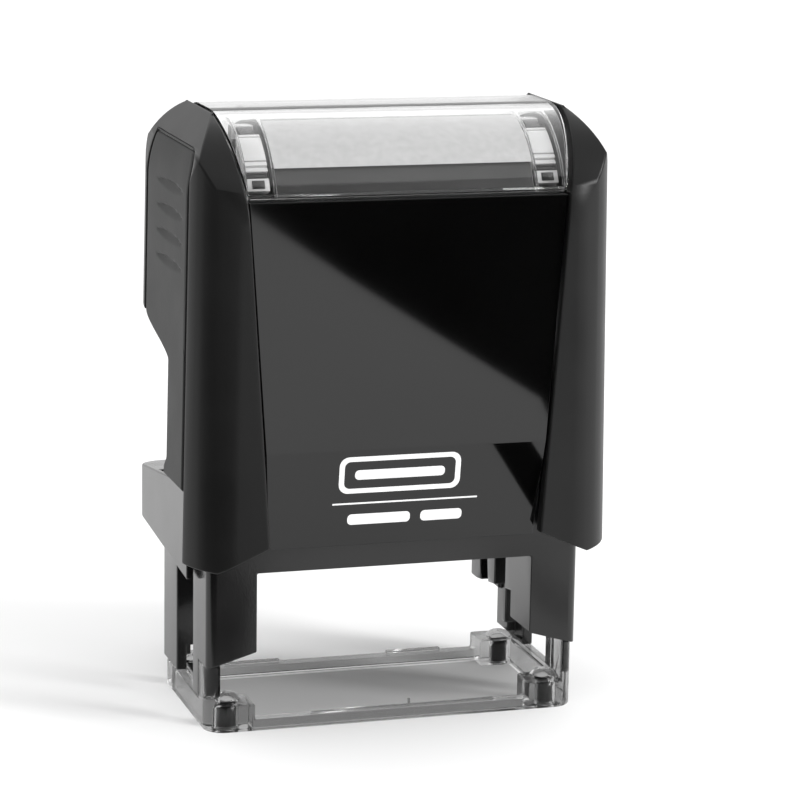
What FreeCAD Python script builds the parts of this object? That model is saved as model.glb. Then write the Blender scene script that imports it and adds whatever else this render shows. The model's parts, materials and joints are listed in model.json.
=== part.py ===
import FreeCAD, Part
import Sketcher
import math
import os

# A small self-inking stamp, in millimetres, +Z up, standing on its base at Z = 0.
# X runs left to right, -Y is the front, and mid_y is the stamp's own middle plane.
# Front/back places below are measured from that middle plane.

SIZES = {
    # where the middle plane lies, so that the whole stamp is centred on Y = 0
    "mid_y": -2.6,
    # how far a cut runs past the piece that it cuts
    "over": 1.0,
    # clear base that stands on the paper
    "base_half_width": 18.0,
    "base_half_depth": 9.0,
    "base_wall": 1.5,
    "base_height": 2.6,
    "base_corner": 2.0,
    "post_inner": 16.7,
    "rail_half": 13.4,
    "rail_top": 1.1,
    "front_post_back": 5.4,
    "boss_radius": 1.35,
    "boss_top": 3.3,
    "boss_dome": 1.0,
    "pin_radius": 0.95,
    "pin_socket": 1.0,
    "pin_across": 15.6,
    "pin_along": 6.7,
    "pin_low": 0.3,
    "pin_top": 2.5,
    "pin_dome": 0.7,
    # inner frame: two legs, an arch at the front and a deck on top
    "leg_inner": 13.3,
    "leg_wall_outer": 14.7,
    "leg_outer": 18.0,
    "leg_rear": 8.7,
    "leg_edge": 0.9,
    "leg_skin": 17.0,
    "flange_inner": 15.1,
    "flange_back": 4.4,
    "flange_low": 5.0,
    "rear_skin": 16.1,
    "rear_foot_rise": 1.1,
    "wall_low": 10.2,
    "wall_low_rear": 8.3,
    "leg_low_outer": 6.2,
    "leg_low_inner": 7.6,
    "arch_low": 15.1,
    "arch_back": 7.8,
    "deck_low": 31.0,
    "deck_top": 32.5,
    "rear_wall_top": 25.6,
    "upper_leg_low": 22.0,
    "upper_leg_rear": 5.2,
    "arm_slot_half": 3.25,
    "axle_slot_half": 1.55,
    "cam_slot_half": 1.05,
    "well_radius": 1.85,
    "well_across": 15.65,
    "well_along": 6.2,
    "well_floor": 9.0,
    # motion: the cap's travel, and the die that turns over half a turn with it
    "travel": 14.0,
    "axle_rest": 20.0,
    "face_reach": 6.0,
    "cam_reach": 5.0,
    "axle_radius": 1.2,
    "axle_bore": 1.25,
    "cam_radius": 0.8,
    "axle_tip_gap": 0.2,
    "cam_tip_gap": 0.1,
    "cam_groove": 0.9,
    # drive arms, which hang from the cap and carry the axle
    "arm_inner": 15.0,
    "arm_outer": 17.6,
    "arm_half": 2.9,
    "arm_foot": 2.6,
    # die: holder, foam and rubber text plate
    "plate_half_length": 12.8,
    "plate_half_width": 4.5,
    "cheek_inner": 11.8,
    "cheek_radius": 5.7,
    "holder_back": 2.0,
    "holder_face": 2.6,
    "holder_wall": 1.0,
    "holder_roof": 1.4,
    "foam_face": 4.0,
    "rubber_base": 5.2,
    "relief_side": 0.8,
    "relief_end": 0.4,
    "relief_line": 0.5,
    "relief_lap": 0.1,
    # ink cartridge: tray, apron and the bumper that wraps round the legs
    "tray_half": 13.0,
    "tray_front": 6.4,
    "tray_low": 26.5,
    "tray_top": 30.3,
    "tray_wall": 1.0,
    "pad_low": 26.3,
    "apron_front": 9.2,
    "apron_back": 10.4,
    "apron_half": 15.0,
    "bumper_low": 13.6,
    "bumper_rear_low": 15.2,
    "bumper_top": 22.7,
    "bumper_rear_top": 19.9,
    "bumper_half": 18.85,
    "bumper_wing": 0.6,
    "bumper_rear": 17.5,
    "wing_front": 4.2,
    "bumper_corner": 3.2,
    "bumper_wall": 1.2,
    # cap shell
    "cap_half_width": 19.8,
    "cap_draft": 0.017,
    "cap_half_depth": 12.3,
    "cap_wall": 1.05,
    "cap_wall_front": 1.2,
    "cap_corner": 4.5,
    "cap_low": 16.1,
    "cap_low_side": 16.5,
    "lobe_across": 17.8,
    "lobe_inner": 13.2,
    "lobe_inner_low": 18.2,
    "cap_top": 57.5,
    "cap_arc": 10.4,
    "cap_bevel": 3.4,
    "cap_shoulder": 10.4,
    "cap_deck_low": 48.8,
    "cap_deck_top": 50.0,
    "column_back": 8.7,
    "panel_low": 23.0,
    "waist_back": 2.0,
    "waist_low": 30.5,
    "waist_top": 35.2,
    "waist_arc": 3.6,
    "rear_low": 37.4,
    "rear_lip": 3.4,
    "foot_step": 1.0,
    "window_sill_half": 15.15,
    "window_top_half": 16.7,
    "opening_low_half": 12.9,
    "opening_into": 0.3,
    "fit_gap": 0.12,
    # side grip panels let into the shell
    "grip_depth": 0.5,
    "grip_rear": 7.6,
    "grip_top": 54.2,
    "grip_round": 2.4,
    "groove_step": 2.35,
    "groove_first": 50.6,
    "groove_height": 1.0,
    "groove_depth": 0.25,
    "groove_front": 7.6,
    "groove_rear": 5.4,
    # front gloss panel, with a ridge across its lower third
    "gloss_low": 17.7,
    "gloss_ridge": 27.0,
    "gloss_top_face": 11.7,
    "gloss_ridge_face": 12.0,
    "gloss_low_face": 10.6,
    "gloss_thick": 1.2,
    # clear index window over a card on a curved seat
    "window_inset": 0.3,
    "window_thick": 0.9,
    "window_low": 50.1,
    "rib_place": 3.4,
    "rib_half": 0.25,
    "card_gap": 0.3,
    "card_thick": 0.3,
    "card_half": 12.2,
    "card_low": 52.4,
    "seat_thick": 1.2,
    "latch_inner": 12.6,
    "latch_outer": 14.7,
    "latch_foot": 9.3,
    "latch_bend": 8.0,
    "latch_crown": 5.7,
    "latch_foot_top": 51.7,
    "latch_bend_top": 53.3,
    "latch_crown_top": 54.9,
    "latch_thick": 1.3,
    # return springs
    "spring_radius": 1.35,
    "spring_wire": 0.2,
    "spring_turns": 15.0,
    "post_radius": 0.95,
    "post_length": 6.0,
}

doc = FreeCAD.newDocument("self_inking_stamp")
sheet = doc.addObject("Spreadsheet::Sheet", "Sizes")
for row, (alias, size) in enumerate(SIZES.items(), 1):
    sheet.set(f"A{row}", alias)
    sheet.set(f"B{row}", str(size))
    sheet.setAlias(f"B{row}", alias)
doc.recompute()

SLOT_STEPS = 24
RELIEF_ROWS = 4
GROOVES = 4
SAME_SPOT = 1e-6
PLANE = {"x": "YZ_Plane", "y": "XZ_Plane", "z": "XY_Plane"}
nodes = {}


def ref(text):
    """Turn plain aliases in an expression into spreadsheet references."""
    words = sorted(SIZES, key=len, reverse=True)
    out = ""
    place = 0
    while place < len(text):
        word = next((w for w in words if text.startswith(w, place)), None)
        if word:
            out += "Sizes." + word
            place += len(word)
        else:
            out += text[place]
            place += 1
    return out


def value(text):
    """The number that an expression in the aliases gives."""
    return float(sheet.evalExpression(ref(text)))


def new_body(label):
    body = doc.addObject("PartDesign::Body", label)
    body.Label = label
    return body


def keep(label, thing):
    """Name a finished sub-part, which is written to a file of that name."""
    thing.Label = label
    nodes[label] = thing
    return thing


def draw(body, axis, corners, start):
    """A closed outline of straight lines on a plane at right angles to axis."""
    sketch = body.newObject("Sketcher::SketchObject", body.Name + "_outline")
    origin = body.Origin.OriginFeatures
    plane = next(item for item in origin if item.Role == PLANE[axis])
    sketch.AttachmentSupport = [(plane, "")]
    sketch.MapMode = "FlatFace"
    sketch.setExpression(".AttachmentOffset.Base.z", ref(start))
    places = [FreeCAD.Vector(value(u), value(v), 0) for u, v in corners]
    count = len(corners)
    for i in range(count):
        sketch.addGeometry(Part.LineSegment(places[i], places[(i + 1) % count]), False)
    for i in range(count):
        sketch.addConstraint(Sketcher.Constraint("Coincident", i, 2, (i + 1) % count, 1))
    for i, (across, along) in enumerate(corners):
        for kind, text, size in (("DistanceX", across, places[i].x), ("DistanceY", along, places[i].y)):
            index = sketch.addConstraint(Sketcher.Constraint(kind, -1, 1, i, 1, size))
            sketch.setExpression(f"Constraints[{index}]", ref(text))
    return sketch


def extrude(body, axis, low, high, sketch, cut):
    """Pad or pocket a sketch between two places along an axis."""
    kind = "Pocket" if cut else "Pad"
    before = 0.0 if body.Tip is None else body.Shape.Volume
    feature = body.newObject("PartDesign::" + kind, body.Name + "_" + kind.lower())
    feature.Profile = sketch
    feature.setExpression("Length", ref(f"({high})-({low})"))
    feature.Reversed = cut
    doc.recompute()
    changed = body.Shape.Volume - before
    if (changed >= 0) == cut:
        raise RuntimeError(f"{body.Label}: {feature.Name} does not change the solid")
    return feature


def prism(body, axis, low, high, corners, cut=False):
    """Add, or cut away, an outline carried from low to high along axis."""
    start = f"-({high})" if axis == "y" else low
    return extrude(body, axis, low, high, draw(body, axis, corners, start), cut)


def block(body, x, y, z, cut=False):
    """A plain box between two places on each axis."""
    return prism(body, "z", z[0], z[1], rectangle(x[0], y[0], x[1], y[1]), cut)


def rectangle(left, low, right, high):
    return [(left, low), (right, low), (right, high), (left, high)]


def disc(body, axis, low, high, centre, radius, cut=False):
    """A round boss or hole along an axis."""
    sketch = body.newObject("Sketcher::SketchObject", body.Name + "_circle")
    origin = body.Origin.OriginFeatures
    plane = next(item for item in origin if item.Role == PLANE[axis])
    sketch.AttachmentSupport = [(plane, "")]
    sketch.MapMode = "FlatFace"
    start = f"-({high})" if axis == "y" else low
    sketch.setExpression(".AttachmentOffset.Base.z", ref(start))
    place = FreeCAD.Vector(value(centre[0]), value(centre[1]), 0)
    sketch.addGeometry(Part.Circle(place, FreeCAD.Vector(0, 0, 1), value(radius)), False)
    for kind, text in (("DistanceX", centre[0]), ("DistanceY", centre[1])):
        index = sketch.addConstraint(Sketcher.Constraint(kind, -1, 1, 0, 3, value(text)))
        sketch.setExpression(f"Constraints[{index}]", ref(text))
    index = sketch.addConstraint(Sketcher.Constraint("Radius", 0, value(radius)))
    sketch.setExpression(f"Constraints[{index}]", ref(radius))
    return extrude(body, axis, low, high, sketch, cut)


def soften(body, radius, wanted):
    """Fillet the edges of a body that wanted(edge) picks."""
    edges = [f"Edge{i}" for i, edge in enumerate(body.Shape.Edges, 1) if wanted(edge)]
    if not edges:
        raise RuntimeError(f"{body.Label}: no edge to soften")
    sharp = body.Tip
    feature = body.newObject("PartDesign::Fillet", body.Name + "_fillet")
    feature.Base = (sharp, edges)
    feature.setExpression("Radius", ref(radius))
    doc.recompute()
    return feature


def runs_along(edge, axis):
    """Whether a straight edge lies along one of the axes."""
    ends = edge.Vertexes
    if len(ends) != 2 or not isinstance(edge.Curve, (Part.Line, Part.LineSegment)):
        return False
    run = ends[1].Point - ends[0].Point
    others = [abs(getattr(run, other)) for other in "xyz" if other != axis]
    return max(others) < SAME_SPOT


def boolean(kind, name, shapes):
    """Fuse or intersect several objects."""
    result = doc.addObject("Part::Multi" + kind, name)
    result.Shapes = shapes
    result.Refine = True
    doc.recompute()
    return result


def subtract(name, base, tool):
    result = doc.addObject("Part::Cut", name)
    result.Base = base
    result.Tool = tool
    result.Refine = True
    doc.recompute()
    return result


def at(text):
    """A front/back place, measured from the stamp's middle plane."""
    return f"mid_y+({text})"


def side_x(side, near, far):
    """The two places across the stamp, low first, on the left (-1) or right (1)."""
    return (f"-({far})", f"-({near})") if side < 0 else (near, far)


SIDES = (("left", -1), ("right", 1))


# ---- clear base -------------------------------------------------------------------------------

def make_base():
    body = new_body("base_walls")
    half_x, half_y = "base_half_width", "base_half_depth"
    block(body, ("-" + half_x, half_x), (at("-" + half_y), at(half_y)), ("0", "base_height"))
    slope = "(leg_low_inner-leg_low_outer)/(leg_outer-leg_inner)"
    for side in (-1, 1):
        inner = f"{side}*post_inner"
        outer = f"{side}*base_half_width"
        tall_inner = f"leg_low_outer+(base_half_width-post_inner)*{slope}"
        post = [(inner, "0"), (outer, "0"), (outer, "leg_low_outer"), (inner, tall_inner)]
        prism(body, "y", at("-base_half_depth"), at("-front_post_back"), post)
    inside_x = "base_half_width-base_wall"
    inside_y = "base_half_depth-base_wall"
    well = rectangle(f"-({inside_x})", at("-front_post_back"), inside_x, at("front_post_back"))
    prism(body, "z", "0", "base_height", well, cut=True)
    middle = rectangle("-rail_half", at(f"-({inside_y})"), "rail_half", at(inside_y))
    prism(body, "z", "0", "base_height", middle, cut=True)
    wide_y = (at("-base_half_depth-over"), at("base_half_depth+over"))
    block(body, ("-rail_half", "rail_half"), wide_y, ("rail_top", "base_height+over"), cut=True)
    for across in ("-pin_across", "pin_across"):
        for along in ("-pin_along", "pin_along"):
            disc(body, "z", "0", "base_height", (across, at(along)), "boss_radius")
    soften(body, "base_corner", is_base_corner)
    domes = make_pin_set("base_boss", "base_height-boss_radius", "boss_top", "boss_radius", "boss_dome")
    sockets = make_pin_set("base_socket", "-over", "pin_top", "pin_socket", "pin_dome")
    solid = boolean("Fuse", "base_solid", [body] + domes)
    cutter = boolean("Fuse", "base_sockets", sockets)
    return keep("base_window", subtract("base_window", solid, cutter))


def is_base_corner(edge):
    if not runs_along(edge, "z"):
        return False
    spot = edge.CenterOfMass
    far_x = abs(abs(spot.x) - SIZES["base_half_width"]) < SAME_SPOT
    return far_x and abs(abs(spot.y - SIZES["mid_y"]) - SIZES["base_half_depth"]) < SAME_SPOT


def make_pin_set(name, low, high, radius, dome):
    """One upright round-topped pin at each of the base's four corners."""
    pins = []
    for across in (-1, 1):
        for along in (-1, 1):
            pin = new_body(f"{name}_{len(pins) + 1}")
            centre = (f"{across}*pin_across", at(f"{along}*pin_along"))
            disc(pin, "z", low, high, centre, radius)
            rim = value(high)
            soften(pin, dome, lambda edge: abs(edge.CenterOfMass.z - rim) < SAME_SPOT)
            pins.append(pin)
    return pins


def make_base_pins():
    """Dark round-topped pins that stand in the base's corner sockets."""
    pins = make_pin_set("base_pin", "pin_low", "pin_top-fit_gap", "pin_radius", "pin_dome")
    return keep("base_snap_pins", boolean("Fuse", "base_snap_pins", pins))


# ---- inner frame ------------------------------------------------------------------------------

def make_frame():
    body = new_body("frame_body")
    front, rear = at("-base_half_depth"), at("leg_rear")
    block(body, ("-leg_outer", "leg_outer"), (front, rear), ("base_height", "deck_top"))
    opening = rectangle("-leg_inner", "0", "leg_inner", "arch_low")
    prism(body, "y", at("-base_half_depth-over"), at("leg_rear+over"), opening, cut=True)
    room = rectangle("-leg_inner", "arch_low-over", "leg_inner", "deck_low")
    prism(body, "y", at("-arch_back"), at("arch_back"), room, cut=True)
    drawer = rectangle("-leg_inner", "rear_wall_top", "leg_inner", "deck_low")
    prism(body, "y", at("arch_back-over"), at("leg_rear+over"), drawer, cut=True)
    above = rectangle("-leg_outer-over", "upper_leg_low", "leg_outer+over", "deck_top+over")
    prism(body, "y", at("upper_leg_rear"), at("leg_rear+over"), above, cut=True)
    for side in (-1, 1):
        cut_leg(body, side)
    soften(body, "leg_edge", is_leg_front_edge)
    frame = subtract("inner_frame", body, make_cam_slots())
    return keep("inner_frame", frame)


def cut_leg(body, side):
    """Open up one leg: a front post and a thin rear post on either side of the arm's slot."""
    cut_foot(body, side)
    slot_x = side_x(side, "leg_wall_outer", "leg_outer+over")
    slot_y = (at("-arm_slot_half"), at("arm_slot_half"))
    block(body, slot_x, slot_y, ("base_height-over", "deck_top+over"), cut=True)
    wall_x = side_x(side, "leg_inner-over", "leg_wall_outer+over/2")
    axle_y = (at("-axle_slot_half"), at("axle_slot_half"))
    block(body, wall_x, axle_y, ("wall_low_rear-over", "axle_rest"), cut=True)
    low_x, high_x = wall_x
    disc(body, "x", low_x, high_x, (at("0"), "axle_rest"), "axle_slot_half", cut=True)
    low = ("base_height-over", "arch_low")
    inner_x = side_x(side, "leg_inner-over", "leg_wall_outer")
    flange_x = side_x(side, "leg_wall_outer", "flange_inner")
    skin_x = side_x(side, "leg_wall_outer", "leg_skin")
    open_front, open_rear = at("-arm_slot_half"), at("leg_rear+over")
    under = [(open_front, "base_height-over"), (open_rear, "base_height-over"),
             (open_rear, "wall_low_rear"), (open_front, "wall_low")]
    prism(body, "x", inner_x[0], inner_x[1], under, cut=True)
    block(body, flange_x, (at("-arm_slot_half"), at("flange_back")), low, cut=True)
    gap_y = (at("arm_slot_half-over"), at("flange_back+over"))
    block(body, skin_x, gap_y, ("base_height-over", "flange_low"), cut=True)
    boss_y = (at("flange_back"), at("leg_rear+over"))
    block(body, skin_x, boss_y, ("base_height-over", "boss_top+fit_gap"), cut=True)
    centre = (f"{side}*well_across", at("-well_along"))
    disc(body, "z", "well_floor", "deck_top+over", centre, "well_radius", cut=True)


def cut_foot(body, side):
    """Slant the foot: right through at the front, and inside the outer skin behind that."""
    slope = "(leg_low_inner-leg_low_outer)/(leg_outer-leg_inner)"
    steps = (("leg_outer+over/2", "-base_half_depth-over", "-front_post_back", "0"),
             ("leg_skin", "-front_post_back-over", "-arm_slot_half", "0"),
             ("rear_skin", "flange_back", "leg_rear+over", "rear_foot_rise"))
    for reach, front, back, rise in steps:
        inner = f"{side}*(leg_inner-over/2)"
        outer = f"{side}*({reach})"
        outer_top = f"leg_low_outer+(leg_outer-({reach}))*{slope}+{rise}"
        inner_top = f"leg_low_inner+over/2*{slope}+{rise}"
        foot = [(inner, "0"), (outer, "0"), (outer, outer_top), (inner, inner_top)]
        prism(body, "y", at(front), at(back), foot, cut=True)


def is_leg_front_edge(edge):
    """The legs' upright outer edges at the front."""
    if not runs_along(edge, "z"):
        return False
    spot = edge.CenterOfMass
    outside = abs(abs(spot.x) - SIZES["leg_outer"]) < SAME_SPOT
    front = SIZES["mid_y"] - SIZES["base_half_depth"]
    return outside and abs(spot.y - front) < SAME_SPOT


def make_cam_slots():
    """The grooves that steer the cam pins: the path of a pin on a die that turns as it drops."""
    travel, reach = SIZES["travel"], SIZES["cam_reach"]
    half, steps = SIZES["cam_slot_half"], SLOT_STEPS
    cutters = []
    for side in (-1, 1):
        inner = side * (SIZES["leg_inner"] - SIZES["over"])
        depth = side * (SIZES["over"] + SIZES["cam_groove"])
        centres, near, far = [], [], []
        for step in range(steps + 1):
            turn = math.pi * step / steps
            y = SIZES["mid_y"] + reach * math.sin(turn)
            z = SIZES["axle_rest"] - travel * turn / math.pi + reach * math.cos(turn)
            run_y = reach * math.cos(turn)
            run_z = -travel / math.pi - reach * math.sin(turn)
            length = math.hypot(run_y, run_z)
            off_y, off_z = -run_z / length * half, run_y / length * half
            centres.append(FreeCAD.Vector(inner, y, z))
            near.append(FreeCAD.Vector(inner, y - off_y, z - off_z))
            far.append(FreeCAD.Vector(inner, y + off_y, z + off_z))
        curves = [Part.BSplineCurve(), Part.BSplineCurve()]
        curves[0].interpolate(near)
        curves[1].interpolate(far)
        ends = [Part.LineSegment(near[i], far[i]).toShape() for i in (0, -1)]
        wire = Part.Wire([curves[0].toShape(), ends[1], curves[1].toShape(), ends[0]])
        slot = Part.Face(wire).extrude(FreeCAD.Vector(depth, 0, 0))
        rounds = [Part.makeCylinder(half, abs(depth), spot, FreeCAD.Vector(side, 0, 0))
                  for spot in (centres[0], centres[-1])]
        cutters.append(slot.fuse(rounds).removeSplitter())
    feature = doc.addObject("Part::Feature", "cam_slots")
    feature.Shape = Part.makeCompound(cutters)
    return feature


# ---- ink cartridge ----------------------------------------------------------------------------

def make_cartridge():
    body = new_body("ink_cartridge")
    tray_x = ("-tray_half", "tray_half")
    block(body, tray_x, (at("-tray_front"), at("apron_back")), ("tray_low", "tray_top"))
    inside_x = ("-tray_half+tray_wall", "tray_half-tray_wall")
    inside_y = (at("-tray_front+tray_wall"), at("tray_front-tray_wall"))
    block(body, inside_x, inside_y, ("tray_low-over", "tray_top-tray_wall"), cut=True)
    apron_y = (at("apron_front"), at("apron_back"))
    block(body, ("-apron_half", "apron_half"), apron_y, ("bumper_rear_low", "tray_low+over"))
    bumper = new_body("bumper_blank")
    view = [(at("-wing_front"), "bumper_low"), (at("bumper_rear"), "bumper_rear_low"),
            (at("bumper_rear"), "bumper_rear_top"), (at("-wing_front"), "bumper_top")]
    prism(bumper, "x", "-bumper_half", "bumper_half", view)
    soften(bumper, "bumper_corner", is_bumper_corner)
    inner = "bumper_half-bumper_wing"
    legs = rectangle(f"-({inner})", at("-wing_front-over"), inner, at("apron_front"))
    prism(bumper, "z", "bumper_low-over", "bumper_top+over", legs, cut=True)
    hollow_x = (f"-({inner}-bumper_corner)", f"{inner}-bumper_corner")
    hollow_y = (at("apron_back"), at("bumper_rear-bumper_wall"))
    block(bumper, hollow_x, hollow_y, ("bumper_low-over", "bumper_rear_top-bumper_wall"), cut=True)
    return keep("ink_cartridge", boolean("Fuse", "cartridge", [body, bumper]))


def is_bumper_corner(edge):
    rear = SIZES["mid_y"] + SIZES["bumper_rear"]
    return runs_along(edge, "z") and abs(edge.CenterOfMass.y - rear) < SAME_SPOT


def make_pad():
    body = new_body("ink_pad")
    gap = "tray_wall+fit_gap"
    pad_y = (at(f"-tray_front+{gap}"), at(f"tray_front-({gap})"))
    pad_x = (f"-tray_half+{gap}", f"tray_half-({gap})")
    block(body, pad_x, pad_y, ("pad_low", "tray_top-tray_wall"))
    return keep("ink_pad", body)


# ---- die --------------------------------------------------------------------------------------

def make_die():
    """The die at rest faces up; its axle lies along X at axle_rest."""
    holder = new_body("die_holder")
    half_x = ("-plate_half_length", "plate_half_length")
    half_y = (at("-plate_half_width"), at("plate_half_width"))
    block(holder, half_x, half_y, ("axle_rest-holder_back", "axle_rest+holder_face"))
    under_x = ("-cheek_inner+holder_wall", "cheek_inner-holder_wall")
    under_y = (at("-plate_half_width+holder_wall"), at("plate_half_width-holder_wall"))
    under_z = ("axle_rest-holder_back-over", "axle_rest+holder_face-holder_roof")
    block(holder, under_x, under_y, under_z, cut=True)
    for side in (-1, 1):
        low, high = side_x(side, "cheek_inner", "plate_half_length")
        disc(holder, "x", low, high, (at("0"), "axle_rest"), "cheek_radius")
    keep("die_holder", holder)
    layers = (("mounting_foam", "holder_face", "foam_face"), ("text_plate", "foam_face", "rubber_base"))
    for label, low, high in layers:
        body = new_body(label)
        gap = "cheek_inner-fit_gap"
        block(body, (f"-({gap})", gap), half_y, (f"axle_rest+{low}", f"axle_rest+{high}"))
        if label == "text_plate":
            add_relief(body)
        keep(label, body)


def add_relief(body):
    """Raised bars of the rubber plate that print: a border and three plain rules."""
    top = ("axle_rest+rubber_base-relief_lap", "axle_rest+face_reach")
    reach_x, reach_y = "cheek_inner-relief_side", "plate_half_width-relief_end"
    block(body, (f"-({reach_x})", reach_x), (at(f"-({reach_y})"), at(reach_y)), top)
    deep = ("axle_rest+rubber_base", "axle_rest+face_reach+over")
    for row in range(RELIEF_ROWS):
        low = f"-({reach_y})+relief_line+{row}*2*({reach_y})/{RELIEF_ROWS}"
        high = f"{low}+2*({reach_y})/{RELIEF_ROWS}-2*relief_line"
        bar_x = (f"-({reach_x})+relief_line", f"{reach_x}-relief_line")
        block(body, bar_x, (at(low), at(high)), deep, cut=True)


def make_axles():
    """Axle pins and cam pins, one of each on both ends of the die holder."""
    pins = {
        "axle_pins": ("axle_rest", "axle_radius", "arm_outer-axle_tip_gap"),
        "cam_pins": ("axle_rest+cam_reach", "cam_radius", "leg_inner+cam_groove-cam_tip_gap"),
    }
    for label, (height, radius, tip) in pins.items():
        pair = []
        for side in (-1, 1):
            pin = new_body(f"{label}_{side + 2}")
            low, high = side_x(side, "plate_half_length", tip)
            disc(pin, "x", low, high, (at("0"), height), radius)
            pair.append(pin)
        keep(label, boolean("Fuse", label, pair))


def make_arms():
    for name, side in SIDES:
        body = new_body(f"{name}_drive_arm")
        x = side_x(side, "arm_inner", "arm_outer")
        block(body, x, (at("-arm_half"), at("arm_half")), ("axle_rest", "cap_deck_low"))
        block(body, x, (at("-arm_foot"), at("arm_foot")), ("axle_rest-arm_foot", "axle_rest"))
        disc(body, "x", x[0], x[1], (at("0"), "axle_rest"), "axle_bore", cut=True)
        keep(f"{name}_drive_arm", body)


def make_springs():
    """Compression springs between the floors of the legs' wells and the cap's deck."""
    wire, radius = SIZES["spring_wire"], SIZES["spring_radius"]
    low = SIZES["well_floor"] + wire
    height = SIZES["cap_deck_low"] - SIZES["well_floor"] - 2 * wire
    for name, side in SIDES:
        helix = Part.makeHelix(height / SIZES["spring_turns"], height, radius)
        start = FreeCAD.Vector(radius, 0, 0)
        circle = Part.Circle(start, FreeCAD.Vector(0, 1, 0), wire)
        coil = Part.Wire(helix).makePipeShell([Part.Wire(circle.toShape())], True, True)
        feature = doc.addObject("Part::Feature", f"{name}_return_spring")
        feature.Shape = coil
        place = (side * SIZES["well_across"], SIZES["mid_y"] - SIZES["well_along"], low)
        feature.Placement.Base = FreeCAD.Vector(*place)
        keep(f"{name}_return_spring", feature)


# ---- cap --------------------------------------------------------------------------------------

def side_profile(label, inset, low, arc, across, waist=False):
    """The cap's outline seen from the side, carried across the stamp, with rounded shoulders."""
    body = new_body(label)
    reach, top = f"cap_half_depth-({inset})", f"cap_top-({inset})"
    corners = [(at(f"-({reach})"), low), (at(f"-({reach})"), top), (at(reach), top)]
    if waist:
        corners += [(at(reach), "rear_low"), (at("cap_half_depth-rear_lip"), "rear_low"),
                    (at("waist_back"), "waist_top"), (at("-waist_back"), "waist_low+waist_arc"),
                    (at("-waist_back"), "panel_low+2*foot_step"),
                    (at("-waist_back+foot_step"), "panel_low+foot_step"),
                    (at("-waist_back+foot_step"), "panel_low"),
                    (at("-column_back"), "panel_low"), (at("-column_back"), low)]
    else:
        corners += [(at(reach), low)]
    prism(body, "x", f"-({across})", across, corners)
    soften(body, arc, lambda edge: is_shoulder(edge, value(top)))
    return body


def is_shoulder(edge, top):
    """An upper edge that lies across the stamp."""
    return runs_along(edge, "x") and abs(edge.CenterOfMass.z - top) < SAME_SPOT


def is_cap_corner(edge):
    """An upright corner edge, which may lean a little."""
    box = edge.BoundBox
    return box.ZLength > 10 * max(box.XLength, box.YLength)


def half_at(height):
    """Half the cap's width at a height: its sides lean in towards the top."""
    return f"cap_half_width+cap_draft*(cap_top-({height}))"


def flare(low_half, low, high_half, high):
    """A trapezium seen from the front."""
    return [(f"-({low_half})", low), (low_half, low), (high_half, high), (f"-({high_half})", high)]


def leaning_block(label, inset, half_depth, low, high, corner):
    """A block as wide as the cap less an inset, with rounded upright corners."""
    body = new_body(label)
    outline = flare(f"{half_at(low)}-({inset})", low, f"{half_at(high)}-({inset})", high)
    prism(body, "y", at(f"-({half_depth})"), at(half_depth), outline)
    soften(body, corner, is_cap_corner)
    return body


def front_view(label, inset):
    """The cap's outline seen from the front, less an inset, carried right through."""
    body = new_body(label)
    bevel = f"cap_bevel-{2 - math.sqrt(2):.4f}*{inset}"
    half = [("lobe_inner", "lobe_inner_low"), ("lobe_across", "cap_low"),
            (f"{half_at('cap_low_side')}-{inset}", "cap_low_side"),
            (f"{half_at('cap_top-cap_bevel')}-{inset}", f"cap_top-{inset}-({bevel})"),
            (f"cap_half_width-{inset}-({bevel})", f"cap_top-{inset}")]
    mirrored = [(f"-({x})", z) for x, z in reversed(half)]
    prism(body, "y", at("-cap_half_depth-over"), at("cap_half_depth+over"), half + mirrored)
    bend = value(f"cap_top-{inset}-({bevel})")
    soften(body, f"cap_shoulder-{inset}", lambda edge: runs_along(edge, "y") and
           abs(edge.CenterOfMass.z - bend) < SAME_SPOT)
    return body


def make_cap_shell():
    plan = leaning_block("cap_plan", "0", "cap_half_depth", "cap_low", "cap_top", "cap_corner")
    side = side_profile("cap_side_view", "0", "cap_low-over", "cap_arc", "cap_half_width+2*over", waist=True)
    blank = boolean("Common", "cap_blank", [plan, side, front_view("cap_front_view", "0")])
    cutter = boolean("Fuse", "cap_cutter", cap_cutters())
    return keep("cap_shell", subtract("cap_shell", blank, cutter))


def cap_cutters():
    inner_y = "cap_half_depth-cap_wall_front"
    cavity = leaning_block("cap_cavity", "cap_wall", inner_y, "cap_low-2*over", "cap_deck_low",
                           "cap_corner-cap_wall_front")
    opening = new_body("front_opening")
    lower = flare("opening_low_half", "gloss_low", "window_sill_half", "cap_deck_top+over/2")
    prism(opening, "y", at("-cap_half_depth-over"), at(f"-({inner_y})+opening_into"), lower)
    skirt = rectangle("-opening_low_half", "cap_low-2*over", "opening_low_half", "gloss_low+fit_gap")
    prism(opening, "y", at("-cap_half_depth-over"), at(f"-({inner_y})+opening_into"), skirt)
    channel = new_body("window_channel")
    upper = flare("window_sill_half", "cap_deck_top", "window_top_half+opening_into", "cap_top+over")
    prism(channel, "y", at("-cap_half_depth-over"), at("cap_half_depth+over"), upper)
    core = front_view("recess_core", "grip_depth")
    recesses = [subtract(f"{name}_recess", grip_outline(f"{name}_recess_outline", side, "0"), core)
                for name, side in SIDES]
    return [cavity, opening, channel] + recesses


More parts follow.
